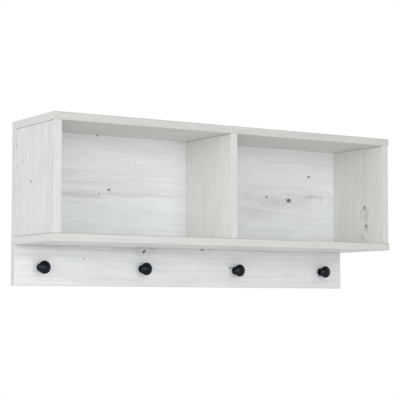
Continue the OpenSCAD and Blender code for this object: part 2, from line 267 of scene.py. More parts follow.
def eye(along, across, back, half_width, stretch, lines):
    """An eye in the figure: growth rings drawn as fine lines round a slightly greyer middle."""
    return (along, across, back, {
        "Swirl": half_width, "Stretch": stretch, "Lines": lines,
        "Stain length": 1.1 * stretch * half_width, "Stain width": 1.1 * half_width, "Stain": 0.12,
    })


def streak_or_shade(along, across, back, half_length, half_width, strength):
    """A grey mineral streak in the grain, or a band of painted shade."""
    return (along, across, back, {
        "Stain length": half_length, "Stain width": half_width, "Stain": strength,
    })


# Raw chipboard shows only in the bores and pockets and on the edges that no strip covers:
# pressed chips of about 2 mm in tan and brown, matt and a little rough.
CHIP_MM = 2.2
chipboard, tree = new_material("raw_chipboard")
place = add(tree, "ShaderNodeTexCoord").outputs["Object"]
place = add(tree, VECTOR_MATH, {0: place, "Scale": MM_PER_M / CHIP_MM}, operation="SCALE")
chips = add(tree, "ShaderNodeTexVoronoi", {"Vector": place, "Scale": 1.0, "Randomness": 1.0})
tone = add(tree, "ShaderNodeSeparateColor", (chips.outputs["Color"],))
tone = add(tree, "ShaderNodeValToRGB", (tone,))
tone.color_ramp.elements[0].color = linear(CHIP_COLOURS[0])
tone.color_ramp.elements[1].color = linear(CHIP_COLOURS[-1])
for stop, chip_colour in zip((0.35, 0.7), CHIP_COLOURS[1:3]):
    tone.color_ramp.elements.new(stop).color = linear(chip_colour)
bump = add(tree, "ShaderNodeBump", {
    "Height": chips.outputs["Distance"], "Strength": 0.5, "Distance": 0.0003,
})
shader = add(tree, "ShaderNodeBsdfPrincipled", {"Base Color": tone, "Roughness": 0.85, "Normal": bump})
add(tree, "ShaderNodeOutputMaterial", {"Surface": shader})

TOUCHING, NEARLY_SQUARE = 1e-5, 0.99


def face_board(node, axis, printed):
    """Puts the printed paper on a board's two faces across an axis, and raw chipboard on the rest."""
    board = nodes[node]
    low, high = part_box(node)
    board.data.materials.clear()
    board.data.materials.append(printed)
    board.data.materials.append(chipboard)
    for face in board.data.polygons:
        level = face.center[axis]
        on_face = min(abs(level - low[axis]), abs(level - high[axis])) < TOUCHING
        face.material_index = 0 if on_face and abs(face.normal[axis]) > NEARLY_SQUARE else 1


PANEL_FEATURES = (
    # left bay, with a long streak across it
    knot(-221, 44, 0, 1.6, 0.6),
    knot(-193, -65, 0, 2.0, 0.75),
    knot(-215, -74, 0, 1.6, 0.35),
    streak_or_shade(-310, -77, 0, 100, 6, 0.4),
    streak_or_shade(-240, -76, 0, 60, 10, 0.35),
    streak_or_shade(-155, -74, 0, 70, 6, 0.4),
    streak_or_shade(-70, -70, 0, 90, 7, 0.25),
    # a broad faint band of painted shade across the middle of the bay
    streak_or_shade(-240, -42, 0, 240, 28, 0.13),
    # right bay, with the long eye of a cathedral figure
    knot(312, -13, 0, 1.8, 0.85),
    knot(197, -62, 0, 1.8, 0.8),
    knot(257, -68, 0, 3.6, 0.85),
    eye(262, -63, 0, 26, 4.7, 0.19),
    streak_or_shade(315, -58, 0, 75, 7, 0.35),
    streak_or_shade(180, -78, 0, 80, 45, 0.15),
    # knob strip, with painted shade under the box and greyer along its foot, with a double knot, a
    # single one and some fainter ones
    knot(-111, -189.5, 0, 1.8, 0.9),
    knot(-109, -186, 0, 1.6, 0.85),
    knot(31, -180.5, 0, 2.0, 0.85),
    eye(-110, -188, 0, 9, 3.0, 0.3),
    eye(31, -181, 0, 9, 3.5, 0.3),
    # painted shade under the box; the short band on the left is partly grey grain too
    streak_or_shade(-230, -178, 0, 190, 16, 0.3),
    streak_or_shade(0, -172, 0, 1500, 13, 0.5),
    streak_or_shade(0, -188, 0, 1500, 28, 0.1),
    streak_or_shade(-40, -190, 0, 80, 9, 0.12),
    streak_or_shade(0, -246, 0, 900, 24, 0.13),
    knot(102, -218, 0, 1.9, 0.6),
    knot(-248, -205, 0, 1.6, 0.25),
    knot(-186, -236, 0, 1.3, 0.12),
    knot(300, -226, 0, 1.1, 0.25),
    # wall side
    knot(-150, -40, 1, 2.4, 0.7),
    knot(210, -110, 1, 2.0, 0.6),
    knot(40, 10, 1, 1.6, 0.5),
    knot(-40, -200, 1, 2.2, 0.7),
    eye(-60, -100, 1, 16, 7.0, 0.22),
)
PANEL_SHEET = 3
low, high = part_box("back_panel")
face_board("back_panel", Y, pine_faced_melamine(
    "panel_melamine", X, Z, Y, MM_PER_M * (low.y + high.y) / 2, PANEL_SHEET, PANEL_FEATURES, PANEL_TONES))

# ---- Top and bottom boards ----
# Two boards of the same stock, 800 mm long, screwed from the panel's back. The grain runs
# along the rack. The top board's underside is the ceiling of both compartments.

# The top board is drawn greyer and warmer than the bottom one: painted shade on the ceiling. The bottom
# board's lighter tones are painted light on its underside.
TOP_SHEET, TOP_TONES = 31, ("#E7E6E1", "#D5D5CF")
TOP_FEATURES = (
    knot(-180, -70, 1, 2.2, 0.7),
    knot(120, -130, 1, 1.8, 0.6),
    knot(290, -60, 1, 2.4, 0.7),
    eye(280, -64, 1, 12, 6.0, 0.2),
    knot(-60, -120, 0, 1.2, 0.15),
)
BOTTOM_SHEET, BOTTOM_TONES = 57, ("#F5F7F5", "#E5E7E4")
BOTTOM_FEATURES = (
    knot(-250, -120, 1, 2.0, 0.6),
    knot(90, -80, 1, 2.2, 0.7),
    knot(210, -140, 0, 1.4, 0.4),
    # painted shade in the corner where the underside meets the panel
    streak_or_shade(0, -15, 0, 4000, 34, 0.3),
)
for board, sheet, features, tones in (
    ("top_board", TOP_SHEET, TOP_FEATURES, TOP_TONES),
    ("bottom_board", BOTTOM_SHEET, BOTTOM_FEATURES, BOTTOM_TONES),
):
    low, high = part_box(board)
    # painted shade along the rear edge, where the board meets the panel
    shaded_edges = ((Y, MM_PER_M * high.y, 0.6),)
    face_board(board, Z, pine_faced_melamine(
        board + "_melamine", X, Y, Z, MM_PER_M * (low.z + high.z) / 2, sheet, features, tones, shaded_edges))

# ---- Side panels and divider ----
# Three uprights between the boards, of the same stock but cut so that the grain stands up.
# They are glued and screwed from above and below, and set back 1.5 mm from the boards' edges.

# The divider and the right side are drawn warmer and darker than the left side: painted shade and warm
# bounce light inside the box.
UPRIGHT_TONES = {
    "left_side_panel": ("#F5F7F7", "#DBDDDC"),
    "centre_divider": ("#F1F3EF", "#E0E1DC"),
    "right_side_panel": ("#EDEFEB", "#DCDDD8"),
}
UPRIGHT_FEATURES = {
    "left_side_panel": (
        knot(-63, -85, 0, 1.8, 0.65),
        knot(-22, -46, 0, 1.5, 0.3),
        knot(14, -16.5, 0, 1.5, 0.5),
        streak_or_shade(-40, -166, 0, 320, 22, 0.14),
        streak_or_shade(20, -128, 0, 110, 14, 0.12),
        knot(-100, -120, 1, 2.0, 0.6),
    ),
    "centre_divider": (
        knot(17, -84, 0, 1.4, 0.15),
        knot(15, -102, 0, 1.4, 0.15),
        knot(-135, -125, 0, 1.2, 0.15),
        knot(-60, -70, 1, 1.8, 0.6),
    ),
    "right_side_panel": (
        knot(-85, -122, 0, 2.4, 0.75),
        knot(-125, -127, 0, 2.4, 0.65),
        knot(-148, -113, 0, 2.0, 0.35),
        eye(-99, -121, 0, 15, 1.0, 0.55),
        eye(-129, -126, 0, 9, 1.7, 0.4),
        streak_or_shade(-98, -111, 0, 14, 3.5, 0.4),
        streak_or_shade(-105, -107, 0, 5, 5, 0.35),
        streak_or_shade(-96, -135, 0, 9, 4, 0.35),
        streak_or_shade(-107, -128, 0, 14, 6, 0.25),
        streak_or_shade(-132, -130, 0, 12, 7, 0.35),
        streak_or_shade(-155, -118, 0, 8, 8, 0.25),
        streak_or_shade(-50, -121, 0, 120, 15, 0.14),
        knot(-20, -60, 1, 2.4, 0.7),
    ),
}
FIRST_UPRIGHT_SHEET, SHEET_STEP = 83, 26
for number, (upright, features) in enumerate(UPRIGHT_FEATURES.items()):
    low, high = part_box(upright)
    # painted shade along the top, bottom and rear edges, where the upright meets the boards and the panel
    shaded_edges = ((Z, MM_PER_M * high.z, 0.9), (Z, MM_PER_M * low.z, 0.6), (Y, MM_PER_M * high.y, 0.7))
    face_board(upright, X, pine_faced_melamine(
        upright + "_melamine", Z, Y, X, MM_PER_M * (low.x + high.x) / 2,
        FIRST_UPRIGHT_SHEET + SHEET_STEP * number, features, UPRIGHT_TONES[upright], shaded_edges))

# ---- Edging strips ----
# ABS bands 1 mm thick with the same print, glued over every edge that shows and trimmed
# with a small radius. Their tones differ as painted light and shade: the boards' ends are
# drawn whitest, with painted light, and the front of the top board greyest, with painted shade.

FRONT_EDGING_TONES = ("#DFDFDC", "#CFCFCB")
SHADED_TOP_EDGING_TONES = ("#D8D8D4", "#C8C8C3")
LIT_END_EDGING_TONES = ("#ECEDEB", "#DCDDDA")
UPRIGHT_EDGING_TONES = ("#E0E1E1", "#D2D3D2")

# A thin grey line of painted shade runs along the upper arris of a board's bands.
ARRIS_SHADES = [
    (Z, MM_PER_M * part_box(board)[1].z, strength)
    for board, strength in (("top_board", 0.2), ("bottom_board", 0.6))
]
# A band has one printed side only, so its middle is put far outside it.
FAR_OUTSIDE = -5000


def edging_band(name, along, across, sheet, tones, arris_shades):
    """ABS extruded and printed: the boards' matt whitewashed pine again, but without knots."""
    return pine_faced_melamine(name, along, across, along, FAR_OUTSIDE, sheet, (), tones, arris_shades)


def coat(node, material):
    """Gives a CAD node one material all over."""
    nodes[node].data.materials.clear()
    nodes[node].data.materials.append(material)


for name, along, across, sheet, tones, arris_shades, strips in (
    ("panel_edging_abs", X, Z, 140, FRONT_EDGING_TONES, (),
     ("back_panel_edging_top", "back_panel_edging_bottom")),
    ("top_board_edging_abs", X, Z, 140, SHADED_TOP_EDGING_TONES, ARRIS_SHADES, ("top_board_edging_front",)),
    ("bottom_board_edging_abs", X, Z, 140, FRONT_EDGING_TONES, ARRIS_SHADES, ("bottom_board_edging_front",)),
    ("board_end_edging_abs", Y, Z, 160, LIT_END_EDGING_TONES, ARRIS_SHADES,
     ("top_board_edging_left", "top_board_edging_right",
      "bottom_board_edging_left", "bottom_board_edging_right")),
    ("panel_end_edging_abs", Z, Y, 180, LIT_END_EDGING_TONES, (),
     ("back_panel_edging_left", "back_panel_edging_right")),
    ("upright_edging_abs", Z, X, 200, UPRIGHT_EDGING_TONES, (),
     ("left_side_edging", "divider_edging", "right_side_edging")),
):
    band = edging_band(name, along, across, sheet, tones, arris_shades)
    for strip in strips:
        coat(strip, band)

# ---- Knobs ----
# Four round mushroom knobs, die-cast in zinc and powder coated in matt black. Each is one
# turned shape: a flange on the panel, a short neck, and a wide head with a low crown.

KNOBS = ("knob_1", "knob_2", "knob_3", "knob_4")
KNOB = {
    "Head radius": 0.013, "Reach": 0.024, "Rim height": 0.0185, "Rim radius": 0.002,
    "Neck radius": 0.0045, "Flange radius": 0.0085, "Flange thickness": 0.003,
}
FLANGE_ROUND, FILLET, FLARE = 0.001, 0.0015, 0.002
BORE_RADIUS, BORE_DEPTH = 0.00205, 0.011

ARC_POINTS = 9
# Points this close are one, and the spindle that a shape turns on is as good as a line.
WELD, SAME_POINT, SPINDLE = 2e-6, 1e-6, 1e-7
CREASE_ANGLE = 0.6
OUTWARD = (0, -1, 0)


def new_shape(name, sizes):
    """A geometry tree with a socket for the places to fill and one for each size."""
    sockets = {"Places": "Geometry", **dict.fromkeys(sizes, "Float")}
    return new_group(name, "GeometryNodeTree", sockets, {"Geometry": "Geometry"})


def turned(tree, outline, steps):
    """A shape turned about Z. Its outline runs from the axis at the bottom, out and up to the
    axis at the top, in (radius, height) points and arcs: (radius and height of the arc's
    centre, its own radius, start angle, sweep)."""
    joined = add(tree, "GeometryNodeJoinGeometry")
    for across, up, *bend in reversed(outline):
        corner = add(tree, "ShaderNodeCombineXYZ", (across, up))
        if bend:
            radius, start, sweep = bend
            arc = add(tree, "GeometryNodeCurveArc", {
                "Resolution": ARC_POINTS, "Radius": radius, "Start Angle": start, "Sweep Angle": sweep,
            }, mode="RADIUS")
            moved = add(tree, "GeometryNodeTransform", {"Geometry": arc, "Translation": corner})
            points = add(tree, "GeometryNodeCurveToPoints", {"Curve": moved}, mode="EVALUATED")
        else:
            points = add(tree, "GeometryNodePoints", {"Count": 1, "Position": corner})
        tree.links.new(points.outputs[0], joined.inputs[0])
    upright = add(tree, "GeometryNodeTransform", {"Geometry": joined, "Scale": (1, -1, 1)})
    line = add(tree, "GeometryNodePointsToCurves", {"Points": upright})
    path = add(tree, "GeometryNodeCurvePrimitiveCircle", {"Resolution": steps, "Radius": SPINDLE})
    skin = add(tree, "GeometryNodeCurveToMesh", {"Curve": path, "Profile Curve": line})
    outward = add(tree, "GeometryNodeFlipFaces", {"Mesh": skin})
    return add(tree, "GeometryNodeMergeByDistance", {"Geometry": outward, "Distance": WELD})


def set_out(tree, shape, material):
    """Puts a shape on every place, its Z along the place's facing, and gives it its finish."""
    angle = add(tree, "GeometryNodeInputMeshEdgeAngle")
    soft = add(tree, MATH, (angle, CREASE_ANGLE), operation="LESS_THAN")
    for domain, smooth in (("FACE", True), ("EDGE", soft)):
        shape = add(tree, "GeometryNodeSetShadeSmooth", {
            "Geometry": shape, "Shade Smooth": smooth,
        }, domain=domain)
    facing = add(tree, "GeometryNodeInputNamedAttribute", {"Name": "facing"}, data_type="FLOAT_VECTOR")
    turn = add(tree, "FunctionNodeAlignRotationToVector", {"Vector": facing}, axis="Z")
    places = add(tree, "NodeGroupInput").outputs["Places"]
    laid = add(tree, "GeometryNodeInstanceOnPoints", {
        "Points": places, "Instance": shape, "Rotation": turn,
    })
    real = add(tree, "GeometryNodeRealizeInstances", {"Geometry": laid})
    done = add(tree, "GeometryNodeSetMaterial", {"Geometry": real, "Material": material})
    add(tree, "NodeGroupOutput", (done,))


def make_from(tree, name, places, sizes, replaced):
    """Runs a tree on its places, each a point and the way it faces, and keeps the plain mesh
    as one piece that stands for the CAD nodes it replaces."""
    start = bpy.data.meshes.new(name)
    start.from_pydata([point for point, _ in places], [], [])
    facing = start.attributes.new("facing", "FLOAT_VECTOR", "POINT")
    facing.data.foreach_set("vector", [v for _, way in places for v in way])
    piece = bpy.data.objects.new(name, start)
    bpy.context.scene.collection.objects.link(piece)
    modifier = piece.modifiers.new(tree.name, "NODES")
    modifier.node_group = tree
    for item in tree.interface.items_tree:
        if item.name in sizes:
            modifier[item.identifier] = sizes[item.name]
    graph = bpy.context.evaluated_depsgraph_get()
    grown = bpy.data.meshes.new_from_object(piece.evaluated_get(graph))
    piece.modifiers.clear()
    piece.data = grown
    bpy.data.meshes.remove(start)
    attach(piece, "root")
    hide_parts(*replaced)


def solids_of(node):
    """The lowest and highest corner of each separate solid of a CAD node."""
    shape = bmesh.new()
    shape.from_mesh(nodes[node].data)
    bmesh.ops.remove_doubles(shape, verts=shape.verts, dist=SAME_POINT)
    left, found = set(shape.verts), []
    while left:
        reached, edge = set(), {left.pop()}
        while edge:
            reached |= edge
            edge = {e.other_vert(v) for v in edge for e in v.link_edges} - reached
        left -= reached
        corners = [v.co for v in reached]
        found.append(tuple(Vector(pick(c[i] for c in corners) for i in range(3)) for pick in (min, max)))
    shape.free()
    return sorted(found, key=lambda box: tuple(round(c, 4) for c in box[0]))


def wall_side_places(node, way):
    """The middle of each of a node's solids, at its end nearest the wall, and the way it faces."""
    return [
        (((low.x + high.x) / 2, high.y, (low.z + high.z) / 2), way) for low, high in solids_of(node)
    ]


# Epoxy powder coat: nearly black with a trace of blue, matt, with a fine orange peel of
# about half a millimetre that breaks up the highlights.
PEEL_MM, DRIFT_MM = 0.5, 11
powder_coat, tree = new_material("matt_black_powder_coat")
place = add(tree, "ShaderNodeTexCoord").outputs["Object"]
peel = add(tree, NOISE, {"Vector": place, "Scale": MM_PER_M / PEEL_MM, "Detail": 2.0})
bump = add(tree, "ShaderNodeBump", {"Height": peel, "Strength": 0.25, "Distance": 0.00004})
drift = add(tree, NOISE, {"Vector": place, "Scale": MM_PER_M / DRIFT_MM, "Detail": 3.0})
tone = {"Factor": drift, FIRST: linear("#030405"), SECOND: linear("#08090C")}
tone = add(tree, MIX, tone, data_type="RGBA")
roughness = add(tree, MAP_RANGE, (drift, 0, 1, 0.22, 0.29))
shader = add(tree, "ShaderNodeBsdfPrincipled", {
    "Base Color": tone, "Roughness": roughness, "Normal": bump,
    "Specular IOR Level": 0.28, "Specular Tint": linear("#CFE2FF"),
})
add(tree, "ShaderNodeOutputMaterial", {"Surface": shader})

tree, size = new_shape("Mushroom knob", KNOB)
rim_centre = add(tree, MATH, (size["Head radius"], size["Rim radius"]), operation="SUBTRACT")
rise = add(tree, MATH, (size["Reach"], size["Rim height"]), operation="SUBTRACT")
# The crown is a ball that meets the rim's round without a crease.
rise_squared, centre_squared, rim_squared = (
    add(tree, MATH, (length, 2.0), operation="POWER") for length in (rise, rim_centre, size["Rim radius"])
)
above = add(tree, MATH, (rise_squared, centre_squared), operation="ADD")
above = add(tree, MATH, (above, rim_squared), operation="SUBTRACT")
below = add(tree, MATH, (rise, size["Rim radius"]), operation="SUBTRACT")
below = add(tree, MATH, (below, 2.0), operation="MULTIPLY")
crown_radius = add(tree, MATH, (above, below), operation="DIVIDE")
crown_height = add(tree, MATH, (size["Reach"], crown_radius), operation="SUBTRACT")
to_rim = add(tree, MATH, (size["Rim height"], crown_height), operation="SUBTRACT")
crown_angle = add(tree, MATH, (to_rim, rim_centre), operation="ARCTAN2")
crown_sweep = add(tree, MATH, (math.pi / 2, crown_angle), operation="SUBTRACT")
rim_sweep = add(tree, MATH, (crown_angle, math.pi / 2), operation="ADD")
# The neck runs out into the flange in a fillet, and into the head's underside in a flare.
flange_in, flange_up = (
    add(tree, MATH, (size[part], FLANGE_ROUND), operation="SUBTRACT")
    for part in ("Flange radius", "Flange thickness")
)
fillet_out, fillet_up = (
    add(tree, MATH, (size[part], FILLET), operation="ADD") for part in ("Neck radius", "Flange thickness")
)
flare_out = add(tree, MATH, (size["Neck radius"], FLARE), operation="ADD")
flare_up = add(tree, MATH, (size["Rim height"], size["Rim radius"]), operation="SUBTRACT")
flare_up = add(tree, MATH, (flare_up, FLARE), operation="SUBTRACT")
knob_shape = turned(tree, (
    (0, BORE_DEPTH),
    (BORE_RADIUS, BORE_DEPTH),
    (BORE_RADIUS, 0),
    (size["Flange radius"], 0),
    (flange_in, flange_up, FLANGE_ROUND, 0.0, math.pi / 2),
    (fillet_out, fillet_up, FILLET, 1.5 * math.pi, -math.pi / 2),
    (flare_out, flare_up, FLARE, math.pi, -math.pi / 2),
    (rim_centre, size["Rim height"], size["Rim radius"], -math.pi / 2, rim_sweep),
    (0, crown_height, crown_radius, crown_angle, crown_sweep),
), steps=72)
set_out(tree, knob_shape, powder_coat)
knob_places = [place for knob in KNOBS for place in wall_side_places(knob, OUTWARD)]
make_from(tree, "black_knobs", knob_places, KNOB, KNOBS)

# ---- Knob screws ----
# Zinc-plated M4 pan head screws, one behind each knob. They go in from the wall side, with
# their heads sunk in counterbores, and hold the knobs from inside.

SCREW_SIZES = (
    "Head radius", "Head height", "Shank radius", "Core radius", "Length", "Pitch", "Thread length",
)
M4 = {
    "Head height": 0.0026, "Shank radius": 0.002, "Core radius": 0.00165, "Pitch": 0.0007,
    "Thread length": 0.018,
}
PAN_ROUND = 0.0012
# The thread is a ridge of three sides, in this many steps a turn. It reaches this share of
# its depth either side of its middle.
RIDGE_SIDES, RIDGE_STEPS, RIDGE_SHARE = 3, 20, 0.66
BLADE_THINNESS = 0.26
WALLWARD = (0, 1, 0)

# Electroplated zinc with a clear blue passivation: bright grey metal, faintly mottled.
MOTTLE_MM = 1.4
zinc, tree = new_material("zinc_plated_steel")
place = add(tree, "ShaderNodeTexCoord").outputs["Object"]
mottle = add(tree, NOISE, {"Vector": place, "Scale": MM_PER_M / MOTTLE_MM, "Detail": 3.0})
tone = {"Factor": mottle, FIRST: linear("#AEB4BC"), SECOND: linear("#C9CCCD")}
tone = add(tree, MIX, tone, data_type="RGBA")
roughness = add(tree, MAP_RANGE, (mottle, 0, 1, 0.24, 0.42))
bump = add(tree, "ShaderNodeBump", {"Height": mottle, "Strength": 0.15, "Distance": 0.00003})
shader = add(tree, "ShaderNodeBsdfPrincipled", {
    "Base Color": tone, "Metallic": 1.0, "Roughness": roughness, "Normal": bump,
})
add(tree, "ShaderNodeOutputMaterial", {"Surface": shader})


def new_screw(name, sizes=SCREW_SIZES):
    """The tree of a kind of screw, its size sockets, and the levels of its head's underside
    and its tip. The top of its head is at level 0."""
    tree, size = new_shape(name, sizes)
    seat, tip = (
        add(tree, MATH, (0.0, size[part]), operation="SUBTRACT") for part in ("Head height", "Length")
    )
    return tree, size, seat, tip


def cross_recess(tree, head, width, depth):
    """Cuts a cross for the driver into the head: two tapered blades at right angles."""
    cut = add(tree, "GeometryNodeMeshBoolean", (head,), operation="DIFFERENCE", solver="EXACT")
    for turn in (0, math.pi / 2):
        blade = add(tree, "GeometryNodeMeshCone", {
            "Vertices": 4, "Radius Top": width, "Radius Bottom": width / 2, "Depth": 2 * depth,
        }, fill_type="NGON")
        blade = add(tree, "GeometryNodeTransform", {
            "Geometry": blade, "Translation": (0, 0, -depth), "Rotation": (0, 0, math.pi / 4),
        })
        blade = add(tree, "GeometryNodeTransform", {
            "Geometry": blade, "Scale": (1, BLADE_THINNESS, 1), "Rotation": (0, 0, turn),
        })
        tree.links.new(blade.outputs[0], cut.inputs[1])
    return cut


def threaded(tree, size, tip, body, tip_share, tip_length):
    """Winds a thread round a screw's body, from its tip up over the threaded length. Along the
    tip the thread grows from a share of its width to the whole."""
    turns = add(tree, MATH, (size["Thread length"], size["Pitch"]), operation="DIVIDE")
    ridge = add(tree, MATH, (size["Shank radius"], size["Core radius"]), operation="SUBTRACT")
    ridge = add(tree, MATH, (ridge, RIDGE_SHARE), operation="MULTIPLY")
    wound = add(tree, MATH, (size["Shank radius"], ridge), operation="SUBTRACT")
    helix = add(tree, "GeometryNodeCurveSpiral", {
        "Resolution": RIDGE_STEPS, "Rotations": turns, "Start Radius": wound, "End Radius": wound,
        "Height": size["Thread length"],
    })
    upright = add(tree, "GeometryNodeSetCurveNormal", {"Curve": helix}, mode="Z_UP")
    vee = add(tree, "GeometryNodeCurvePrimitiveCircle", {"Resolution": RIDGE_SIDES, "Radius": ridge})
    swept = add(tree, "GeometryNodeCurveToMesh", {"Curve": upright, "Profile Curve": vee, "Fill Caps": True})
    place = add(tree, "GeometryNodeInputPosition")
    height = add(tree, "ShaderNodeSeparateXYZ", (place,)).outputs[Z]
    grown = add(tree, MAP_RANGE, (height, 0.0, tip_length, tip_share, 1.0))
    spread = add(tree, "ShaderNodeCombineXYZ", (grown, grown, 1.0))
    narrowed = add(tree, VECTOR_MATH, (place, spread), operation="MULTIPLY")
    tapered = add(tree, "GeometryNodeSetPosition", {"Geometry": swept, "Position": narrowed})
    start = add(tree, "ShaderNodeCombineXYZ", {"Z": tip})
    thread = add(tree, "GeometryNodeTransform", {"Geometry": tapered, "Translation": start})
    whole = add(tree, "GeometryNodeJoinGeometry", (body,))
    tree.links.new(thread.outputs[0], whole.inputs[0])
    return whole


def measured(node, axis, sizes):
    """A screw's sizes, with its head's radius and its length as in the CAD."""
    low, high = solids_of(node)[0]
    return {"Head radius": (high.x - low.x) / 2, "Length": high[axis] - low[axis], **sizes}


tree, size, seat, tip = new_screw("Pan head screw")
rounded = add(tree, MATH, (size["Head radius"], PAN_ROUND), operation="SUBTRACT")
pan_shape = turned(tree, (
    (0, tip),
    (size["Core radius"], tip),
    (size["Core radius"], seat),
    (size["Head radius"], seat),
    (rounded, -PAN_ROUND, PAN_ROUND, 0.0, math.pi / 2),
    (0, 0),
), steps=32)
pan_head = cross_recess(tree, pan_shape, width=0.0041, depth=0.0016)
set_out(tree, threaded(tree, size, tip, pan_head, tip_share=0.8, tip_length=size["Pitch"]), zinc)
make_from(tree, "m4_pan_head_screws", wall_side_places("knob_screws", WALLWARD),
          measured("knob_screws", Y, M4), ("knob_screws",))

# ---- Back panel screws and hanger screws ----
# Countersunk chipboard screws. Fourteen go through the panel into the boards and uprights,
# and two shorter ones hold each hanger plate.

PANEL_SCREW = {
    "Head height": 0.0025, "Shank radius": 0.00195, "Core radius": 0.0013, "Pitch": 0.0018,
    "Thread length": 0.030,
}
HANGER_SCREW = {
    "Head height": 0.0021, "Shank radius": 0.00175, "Core radius": 0.0011, "Pitch": 0.0016,
    "Thread length": 0.007,
}
HEAD_EDGE = 0.0003

tree, size, seat, tip = new_screw("Countersunk screw")
shoulder = add(tree, MATH, (size["Core radius"], 2.0, tip), operation="MULTIPLY_ADD")
countersunk_shape = turned(tree, (
    (0, tip),
    (size["Core radius"], shoulder),
    (size["Core radius"], seat),
    (size["Head radius"], -HEAD_EDGE),
    (size["Head radius"], 0),
    (0, 0),
), steps=32)
countersunk_head = cross_recess(tree, countersunk_shape, width=0.0036, depth=0.0015)
point_length = add(tree, MATH, (size["Core radius"], 2.0), operation="MULTIPLY")
set_out(tree, threaded(tree, size, tip, countersunk_head, tip_share=0.05, tip_length=point_length), zinc)
for name, node, sizes in (
    ("chipboard_screws", "back_panel_screws", PANEL_SCREW),
    ("hanger_plate_screws", "hanger_screws", HANGER_SCREW),
):
    make_from(tree, name, wall_side_places(node, WALLWARD), measured(node, Y, sizes), (node,))

# ---- Confirmat screws ----
# Twelve one-piece connecting screws for chipboard, through the boards into the ends of the
# uprights: a thick collar, a deep coarse thread and a hexagon socket.

CONFIRMAT = {
    "Head height": 0.003, "Collar radius": 0.0035, "Collar height": 0.009, "Shank radius": 0.0032,
    "Core radius": 0.0022, "Pitch": 0.003, "Thread length": 0.033,
}
TIP_RADIUS, TIP_LENGTH = 0.001, 0.003
SOCKET_RADIUS, SOCKET_DEPTH = 0.0023, 0.003
UPWARD, DOWNWARD = (0, 0, 1), (0, 0, -1)

tree, size, seat, tip = new_screw("Confirmat screw", SCREW_SIZES + ("Collar radius", "Collar height"))
collar_end = add(tree, MATH, (seat, size["Collar height"]), operation="SUBTRACT")
tip_end = add(tree, MATH, (tip, TIP_LENGTH), operation="ADD")
confirmat_shape = turned(tree, (
    (0, tip),
    (TIP_RADIUS, tip),
    (size["Core radius"], tip_end),
    (size["Core radius"], collar_end),
    (size["Collar radius"], collar_end),
    (size["Collar radius"], seat),
    (size["Head radius"], seat),
    (size["Head radius"], 0),
    (0, 0),
), steps=32)
socket = add(tree, "GeometryNodeMeshCylinder", {
    "Vertices": 6, "Radius": SOCKET_RADIUS, "Depth": 2 * SOCKET_DEPTH,
}, fill_type="NGON")
confirmat_head = add(
    tree, "GeometryNodeMeshBoolean", (confirmat_shape, socket), operation="DIFFERENCE", solver="EXACT")
set_out(tree, threaded(tree, size, tip, confirmat_head, tip_share=0.45, tip_length=TIP_LENGTH), zinc)


def board_places(node):
    """The middle of each of a node's solids, at its end away from the box's middle, and the
    way that end faces: up at the top board and down at the bottom board."""
    low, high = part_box("left_side_panel")
    box_middle = (low.z + high.z) / 2
    places = []
    for low, high in solids_of(node):
        x, y = (low.x + high.x) / 2, (low.y + high.y) / 2
        upper = (low.z + high.z) / 2 > box_middle
        places.append(((x, y, high.z if upper else low.z), UPWARD if upper else DOWNWARD))
    return places


make_from(tree, "confirmat_connectors", board_places("confirmat_screws"),
          measured("confirmat_screws", Z, CONFIRMAT), ("confirmat_screws",))

# ---- Plugs ----
# Flush caps over the confirmat heads, moulded in pale grey plastic, each held by a peg in
# the screw's socket.

PLUG_ROUND = 0.0003

# Injection-moulded ABS: off-white, satin, with the faint grain of the mould.
MOULD_GRAIN_MM = 0.4
plug_abs, tree = new_material("moulded_abs_plug")
place = add(tree, "ShaderNodeTexCoord").outputs["Object"]
grain = add(tree, NOISE, {"Vector": place, "Scale": MM_PER_M / MOULD_GRAIN_MM, "Detail": 2.0})
tone = {"Factor": grain, FIRST: linear("#E0DFDA"), SECOND: linear("#E8E7E3")}
tone = add(tree, MIX, tone, data_type="RGBA")
bump = add(tree, "ShaderNodeBump", {"Height": grain, "Strength": 0.2, "Distance": 0.00003})
shader = add(tree, "ShaderNodeBsdfPrincipled", {
    "Base Color": tone, "Roughness": 0.42, "IOR": 1.52, "Normal": bump,
})
add(tree, "ShaderNodeOutputMaterial", {"Surface": shader})

tree, size = new_shape("Confirmat plug", ("Radius", "Thickness", "Peg radius", "Peg length"))
underside = add(tree, MATH, (0.0, size["Thickness"]), operation="SUBTRACT")
peg_end = add(tree, MATH, (underside, size["Peg length"]), operation="SUBTRACT")
rounded = add(tree, MATH, (size["Radius"], PLUG_ROUND), operation="SUBTRACT")
plug_shape = turned(tree, (
    (0, peg_end),
    (size["Peg radius"], peg_end),
    (size["Peg radius"], underside),
    (size["Radius"], underside),
    (rounded, -PLUG_ROUND, PLUG_ROUND, 0.0, math.pi / 2),
    (0, 0),
), steps=40)
set_out(tree, plug_shape, plug_abs)
low, high = solids_of("confirmat_plugs")[0]
make_from(tree, "cover_plugs", board_places("confirmat_plugs"), {
    "Radius": (high.x - low.x) / 2, "Thickness": 0.0015, "Peg radius": 0.0018, "Peg length": 0.002,
}, ("confirmat_plugs",))

# ---- Dowels ----
# Six 8 x 30 mm beech dowels, one between each pair of confirmats. They are fluted so that
# the glue spreads, and chamfered at both ends.

CHAMFERED_END = 0.8
FLUTE_FLOOR = 0.93
ROUND_STEPS = 120

